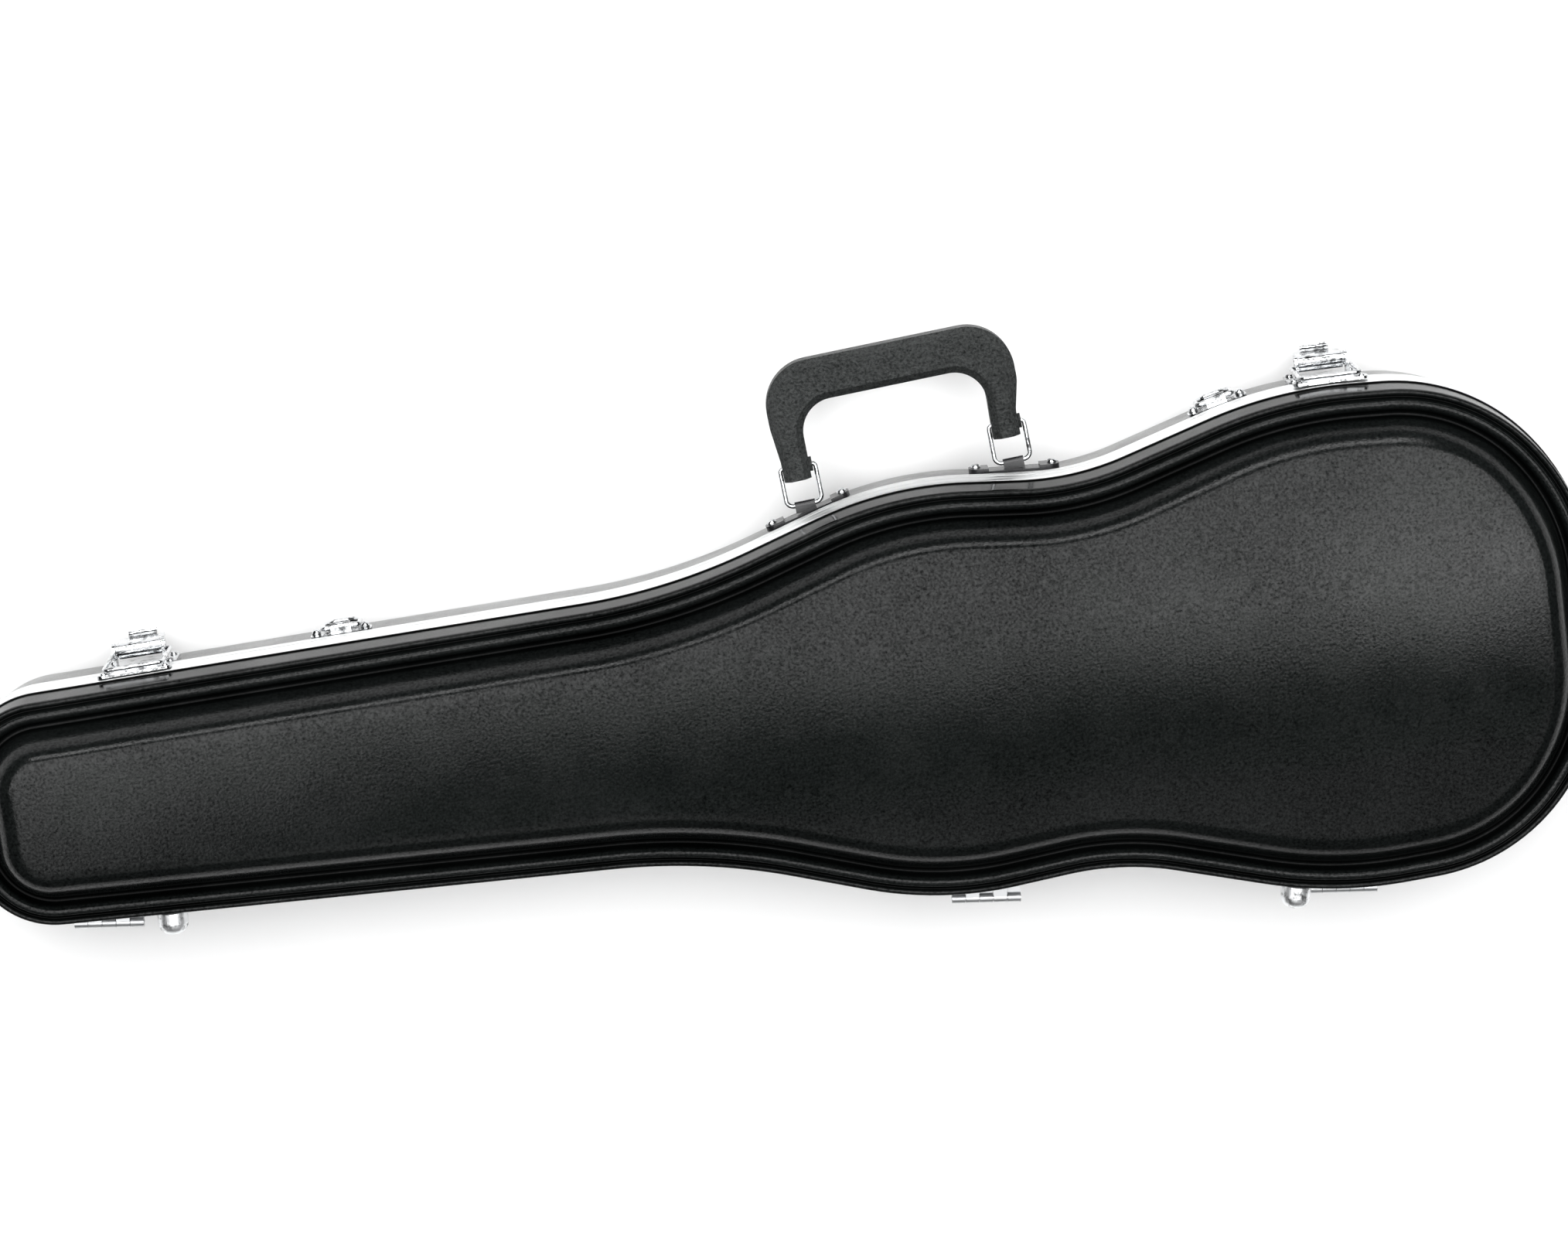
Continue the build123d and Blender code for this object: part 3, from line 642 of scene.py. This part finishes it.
def soft_end(points, neighbour):
    """Sections that close a pad's end in a soft curve, outermost first."""
    middle = sum(points, Vector()) / len(points)
    along = (middle - sum(neighbour, Vector()) / len(neighbour)).normalized()
    steps = ((0.55, 3.0), (0.8, 2.7), (0.93, 1.8), (0.985, 0.8))
    return [[middle + (p - middle) * scale + along * out * MM for p in points] for scale, out in steps]


def strip_mesh(name, stations, closed=False):
    """Mesh of a pad from its sections: a closed band, or a strip with soft ends."""
    if not closed:
        first = soft_end(stations[0], stations[1])
        last = soft_end(stations[-1], stations[-2])
        stations = first + stations + last[::-1]
    faces = quads(stations, closed)
    if not closed:
        faces += end_caps(stations)
    return make_mesh(name, flat(stations), faces, 180)


def joined(name, meshes):
    """One mesh of several islands."""
    work = bmesh.new()
    for mesh in meshes:
        work.from_mesh(mesh)
        bpy.data.meshes.remove(mesh)
    mesh = bpy.data.meshes.new(name)
    work.to_mesh(mesh)
    work.free()
    return mesh


def pad(name, mesh, body, node):
    """Puts a finished pad in the scene on its body and hides the CAD node that it stands for."""
    piece = link(name, mesh, PLUSH, body)
    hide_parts(node)
    return piece


def puffed(mesh, voxel, cap):
    """Swells a pad with cloth pressure, with no point moving further than cap."""
    scene = bpy.context.scene
    blank = bpy.data.objects.new("pad_form", mesh)
    scene.collection.objects.link(blank)
    remesh = blank.modifiers.new("even", "REMESH")
    remesh.mode = "VOXEL"
    remesh.voxel_size = voxel * MM
    graph = bpy.context.evaluated_depsgraph_get()
    even = bpy.data.meshes.new_from_object(blank.evaluated_get(graph))
    blank.modifiers.clear()
    blank.data = even
    cloth = blank.modifiers.new("swell", "CLOTH")
    cloth.settings.quality = 4
    cloth.settings.mass = 0.3
    cloth.settings.tension_stiffness = 12
    cloth.settings.compression_stiffness = 8
    cloth.settings.bending_stiffness = 0.4
    cloth.settings.use_pressure = True
    cloth.settings.uniform_pressure_force = 4
    cloth.settings.effector_weights.gravity = 0
    for frame_number in range(1, 21):
        scene.frame_set(frame_number)
    graph = bpy.context.evaluated_depsgraph_get()
    swollen = bpy.data.meshes.new_from_object(blank.evaluated_get(graph))
    for before, after in zip(even.vertices, swollen.vertices):
        move = after.co - before.co
        if move.length > cap * MM:
            after.co = before.co + move.normalized() * cap * MM
    bpy.data.objects.remove(blank)
    scene.frame_set(1)
    for face in swollen.polygons:
        face.use_smooth = True
    return swollen


def slab(name, inset, edge, low, high, groove=False):
    """Pad over the whole plan between two faces; groove draws seams into the lower one."""
    side = ring(inset, 0)
    inner = ring(inset + edge, 0)
    rows = []
    for row, share in ((inner, 0.0), (side, 0.3), (side, 0.7), (inner, 1.0)):
        rows.append([Vector((p.x, p.y, low(p.y) + (high(p.y) - low(p.y)) * share)) for p in row])
    under = to_spine(rows[0], 12, low)
    for p in flat(under[2::4]) if groove else ():
        p.z += min(SEAM_SINK, (high(p.y) - low(p.y)) * 0.5)
    over = to_spine(rows[-1], 10, high)
    rows = under[::-1] + rows + over
    return make_mesh(name, flat(rows), quads(rows), 180)


def smooth_pad(piece):
    """Adds one level of subdivision."""
    subdivision = piece.modifiers.new("smooth", "SUBSURF")
    subdivision.levels = 1
    subdivision.render_levels = 1


def make_base_lining():
    """Floor, wall, neck and pocket pads, and the pocket's divider."""
    low, high = FLOOR_PAD_Z
    form = slab("floor_padding", FLOOR_INSET, FLOOR_EDGE, level(low), level(high))
    floor = puffed(form, *FLOOR_SWELL)
    smooth_pad(pad("floor_padding", floor, "base", "base_floor_pad"))

    def ledge(width):
        return lambda wall, n: (-n, width)

    def channel(wall, n):
        return Vector((0, -math.copysign(1, wall.y))), abs(wall.y) / MM - NECK_CHANNEL

    body = wall_stations(run_of(lambda p: p.x > BODY_PADS_X * MM), ledge(BODY_LEDGE))
    pad("body_wall_padding", strip_mesh("body_wall", stitched(body)), "base", "base_body_pads")
    pocket = wall_stations(run_of(lambda p: p.x < POCKET_PADS_X * MM), ledge(POCKET_LEDGE))
    mesh = strip_mesh("pocket_wall", stitched(pocket))
    pad("pocket_wall_padding", mesh, "base", "base_pocket_pads")
    low_x, high_x = (x * MM for x in NECK_PADS_X)
    necks = []
    for side in (1, -1):
        run = run_of(lambda p: low_x < p.x < high_x and p.y * side > 0)
        necks.append(strip_mesh("neck_side", stitched(wall_stations(run, channel))))
    pad("neck_wall_padding", joined("neck_wall", necks), "base", "base_neck_pads")
    section = cushion_section(7.6, WALL_FOOT, WALL_TOP, 0)
    across = [
        [Vector(((DIVIDER_X + u) * MM, y * MM, z * MM)) for u, z in section] for y in range(-51, 52, 3)
    ]
    pad("pocket_divider_padding", strip_mesh("divider", across), "base", "base_pocket_divider")


def make_lid_lining():
    """Stitched side and shoulder pads, and a top pad with seams along the outline."""
    for name, section, node in (
        ("lid_wall_padding", LID_SIDE_PAD, "lid_side_pads"),
        ("lid_shoulder_padding", LID_SHOULDER_PAD, "lid_shoulder_pads"),
    ):
        rows = [ring(*p) for p in softened(section, 2, closed=True)]
        stations = [list(station) for station in zip(*rows)]
        pad(name, strip_mesh(name, stitched(stations), True), "lid", node)

    def ceiling(y):
        return crown(y, LID_TOP_DROP)

    top = slab("lid_padding", LID_TOP_INSET, LID_TOP_EDGE, level(LID_TOP_Z), ceiling, groove=True)
    smooth_pad(pad("lid_top_padding", top, "lid", "lid_top_pad"))


def make_neck_rest():
    """Cradle for the neck: two horns with a round saddle between them."""
    half, foot, horn, middle = NECK_REST_SIZE
    lip = SADDLE_RADIUS + 3
    round_out = SADDLE_RADIUS + 1
    outline = [(-half, foot), (-half, horn), (-lip, horn + 0.4), (-round_out, SADDLE_Z - 2)]
    for k in range(11):
        angle = math.radians(195 + 15 * k)
        outline.append((round_out * math.cos(angle), SADDLE_Z + round_out * math.sin(angle)))
    outline += [(round_out, SADDLE_Z - 2), (lip, horn + 0.4), (half, horn), (half, foot)]
    outline = softened(outline, 1, closed=True)
    stations = []
    for x, scale in NECK_REST_RUN:
        stations.append([
            Vector((x * MM, y * scale * MM, (middle + (z - middle) * scale) * MM)) for y, z in outline
        ])
    form = make_mesh("neck_rest", flat(stations), quads(stations) + end_caps(stations), 180)
    mesh = puffed(form, *NECK_SWELL)
    smooth_pad(pad("neck_rest", mesh, "base", "neck_cradle"))


def make_pocket_cover():
    """Board wrapped in plush, with a soft edge and a slightly crowned top."""
    def loop(inset, z):
        run = run_of(lambda p: p.x < COVER_END_X * MM)
        row = [p - n * inset * MM for p, n in run]
        end = [row[-1].lerp(row[0], k / 24) for k in range(1, 24)]
        return [Vector((*p, z * MM)) for p in row + end]

    def to_middle(row, z, rise):
        low_x, high_x = (x * MM for x in COVER_SPINE_X)
        rows = []
        for k in range(1, COVER_ROWS + 1):
            height = (z + rise * math.sin(math.pi / 2 * k / COVER_ROWS)) * MM
            inner = []
            for p in row:
                target = Vector((min(max(p.x, low_x), high_x), 0))
                inner.append(Vector((*p.xy.lerp(target, k / COVER_ROWS), height)))
            rows.append(inner)
        return rows

    rows = [loop(inset, z) for inset, z in COVER_EDGE]
    under = to_middle(rows[0], COVER_EDGE[0][1], 0)
    over = to_middle(rows[-1], COVER_EDGE[-1][1], COVER_CROWN)
    rows = under[::-1] + rows + over
    mesh = make_mesh("pocket_cover", flat(rows), quads(rows), 60)
    pad("pocket_cover", mesh, "compartment_lid", "compartment_lid")


def make_bow_sleeves():
    """Two lined sleeves for the bow tips, open towards the wide end."""
    meshes = []
    for y in SLEEVE_Y:
        stations = []
        for wide, high, run in ((7.9, 6.8, SLEEVE_OUTSIDE), (5.6, 4.4, SLEEVE_INSIDE)):
            square = [(-wide, -high), (wide, -high), (wide, high), (-wide, high)]
            for x, scale in run:
                stations.append([
                    Vector((x * MM, (y + u * scale) * MM, (SLEEVE_Z + v * scale) * MM))
                    for u, v in softened(square, 3, closed=True)
                ])
        meshes.append(make_mesh("sleeve", flat(stations), quads(stations) + end_caps(stations), 60))
    pad("bow_tip_sleeves", joined("bow_tip_sleeves", meshes), "lid", "bow_tip_pockets")


# Widths of the tapes, and their thickness
TIE_WIDTH, HINGE_WIDTH, PULL_WIDTH = 22, 74, 12
TAPE_THICKNESS = 0.5
TIE_X = -50
TIE_REACH = 33
TIE_Z = 51.8
TIE_SAG = 4.5


def ribbon(name, path, across, width, node, body):
    """A flat strip of tape along a path, of its own length and width, thickened by a modifier."""
    points, columns = [], 8
    for p in path:
        points += [p + across * width * MM * (k / columns - 0.5) for k in range(columns + 1)]
    faces = []
    for i in range(len(path) - 1):
        for k in range(columns):
            a = i * (columns + 1) + k
            faces.append((a, a + 1, a + columns + 2, a + columns + 1))
    mesh = make_mesh(name, points, faces, 180)
    piece = link(name, mesh, TAPE, body)
    thick = piece.modifiers.new("thick", "SOLIDIFY")
    thick.thickness = TAPE_THICKNESS * MM
    thick.offset = 0
    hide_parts(node)
    return piece


def make_tapes():
    """The neck's tie, the cloth hinge of the pocket cover, and the cover's pull tab."""
    along_x = Vector((1, 0, 0))
    path = []
    for k in range(-16, 17):
        y = TIE_REACH * k / 16
        sag = TIE_SAG * max(0.0, 1 - (y / SADDLE_RADIUS) ** 2)
        path.append(Vector((TIE_X, y, TIE_Z - sag)) * MM)
    ribbon("neck_tie", path, along_x, TIE_WIDTH, "neck_strap", "base")
    hinge = JOINTS["compartment_hinge"]
    at, axis = Vector(hinge["pos_m"]), Vector(hinge["axis"])
    inward = Z.cross(axis)
    path = [at + inward * t * MM - Z * 0.2 * MM for t in range(-6, 7)]
    cloth = ribbon(
        "cover_hinge_cloth", path, axis, HINGE_WIDTH, "compartment_hinge", None,
    )
    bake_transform(cloth)
    low, high = (Vector(c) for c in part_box("compartment_pull"))
    middle = (low + high) / 2
    path = [Vector((middle.x, low.y + (high.y - low.y) * k / 6, middle.z)) for k in range(7)]
    ribbon(
        "cover_pull", path, along_x, PULL_WIDTH, "compartment_pull", "compartment_lid",
    )


# Carried-over hardware --------------------------------------------------------------------

# Width of the bevel by material slot, millimetres
EDGE_BREAK = {"handle_black": 2.2, "bracket_black": 0.4, "spinner_plastic": 0.6}
FINE_EDGE = 0.25


def dress_cad_nodes():
    """Each CAD node takes its finish, with its edges broken by a fine bevel."""
    slots = {s["node"]: s["material_slot"] for s in frame["record"]["subparts"]}
    for node, piece in frame["nodes"].items():
        piece.data.materials.clear()
        # The feet take the satin copy of the chrome, whose brighter colour is painted light.
        piece.data.materials.append(FOOT_SATIN_PAINTED_LIGHT if node.endswith("_feet") else FINISH[slots[node]])
        bevel = piece.modifiers.new("edges", "BEVEL")
        bevel.width = EDGE_BREAK.get(slots[node], FINE_EDGE) * MM
        bevel.segments = 3
        bevel.limit_method = "ANGLE"
        bevel.angle_limit = math.radians(30)


# Stage ------------------------------------------------------------------------------------

CAMERA_TILT = math.radians(10.55)
CAMERA_ROLL = math.radians(7.48)
CAMERA_DISTANCE = 2.2
FRAME_WIDTH = 0.7475
TARGET = Vector((0.0070, 0.0443, 0.095))
FLOOR_REACH = 6.0
FLOOR_DROP = 0.5 * MM
# Area lights as (name, place, aim, size, watts)
LIGHTS = (
    ("overhead", (0.15, 0.63, 2.1), (0.12, 0.39, 0), (3.4, 1.96), 96),
    ("far", (0.1, 2.7, 1.6), (0.05, 0.3, 0), (2.6, 0.8), 50),
    ("right_accent", (0.64, -0.16, 2.0), (0.32, 0.02, 0.1), (0.5, 0.34), 1.3),
    ("left_accent", (-0.72, -0.40, 2.0), (-0.36, 0, 0.1), (0.4, 0.5), 2.0),
    ("front", (0.1, -1.2, 2.0), (0.1, -0.5, 0), (3.0, 0.85), 7),
)


def make_camera():
    """Looks down on the lid, leaning to the handle side, with the case rising to the right."""
    data = bpy.data.cameras.new("camera")
    data.sensor_width = 36
    data.lens = data.sensor_width * CAMERA_DISTANCE / FRAME_WIDTH
    data.clip_end = 50
    camera = bpy.data.objects.new("camera", data)
    bpy.context.scene.collection.objects.link(camera)
    back = Vector((0, math.sin(CAMERA_TILT), math.cos(CAMERA_TILT)))
    level_up = Vector((0, math.cos(CAMERA_TILT), -math.sin(CAMERA_TILT)))
    right = Vector((1, 0, 0)) * math.cos(CAMERA_ROLL) - level_up * math.sin(CAMERA_ROLL)
    up = Vector((1, 0, 0)) * math.sin(CAMERA_ROLL) + level_up * math.cos(CAMERA_ROLL)
    axes = Matrix((right, up, back)).transposed()
    camera.matrix_world = Matrix.Translation(TARGET + back * CAMERA_DISTANCE) @ axes.to_4x4()
    bpy.context.scene.camera = camera


def add_light(name, place, aim, size, power):
    """Area light aimed at a point; size in metres, power in watts."""
    data = bpy.data.lights.new(name, "AREA")
    data.shape = "RECTANGLE"
    data.size, data.size_y = size
    data.energy = power
    light = bpy.data.objects.new(name, data)
    bpy.context.scene.collection.objects.link(light)
    light.location = place
    light.rotation_mode = "QUATERNION"
    light.rotation_quaternion = (Vector(aim) - Vector(place)).to_track_quat("-Z", "Y")


def make_stage():
    """Dim studio world, white paper floor and soft area lights."""
    world = bpy.data.worlds.new("studio")
    world.use_nodes = True
    background = world.node_tree.nodes["Background"]
    background.inputs["Color"].default_value = (0.93, 0.95, 0.96, 1)
    background.inputs["Strength"].default_value = 0.08
    bpy.context.scene.world = world
    mesh = bpy.data.meshes.new("floor")
    corners = [(x * FLOOR_REACH, y * FLOOR_REACH, 0) for x, y in ((-1, -1), (1, -1), (1, 1), (-1, 1))]
    mesh.from_pydata(corners, [], [(0, 1, 2, 3)])
    floor = bpy.data.objects.new("floor", mesh)
    floor.location.z = -FLOOR_DROP
    bpy.context.scene.collection.objects.link(floor)
    paper = Shader("paper", Roughness=0.9)
    paper.colour(paper.noise(3, 2), (0.3, (0.90, 0.90, 0.90)), (0.7, (0.92, 0.92, 0.92)))
    mesh.materials.append(paper.material)
    for light in LIGHTS:
        add_light(*light)
    bpy.context.scene.view_settings.view_transform = "Standard"


make_camera()
make_stage()
make_lid()
make_base()
make_valance("lid_channel", 1, PARTING_Z + LID_GAP, "lid")
make_valance("base_channel", -1, PARTING_Z, "base")
dress_cad_nodes()
make_base_lining()
make_lid_lining()
make_neck_rest()
make_pocket_cover()
make_bow_sleeves()
make_tapes()
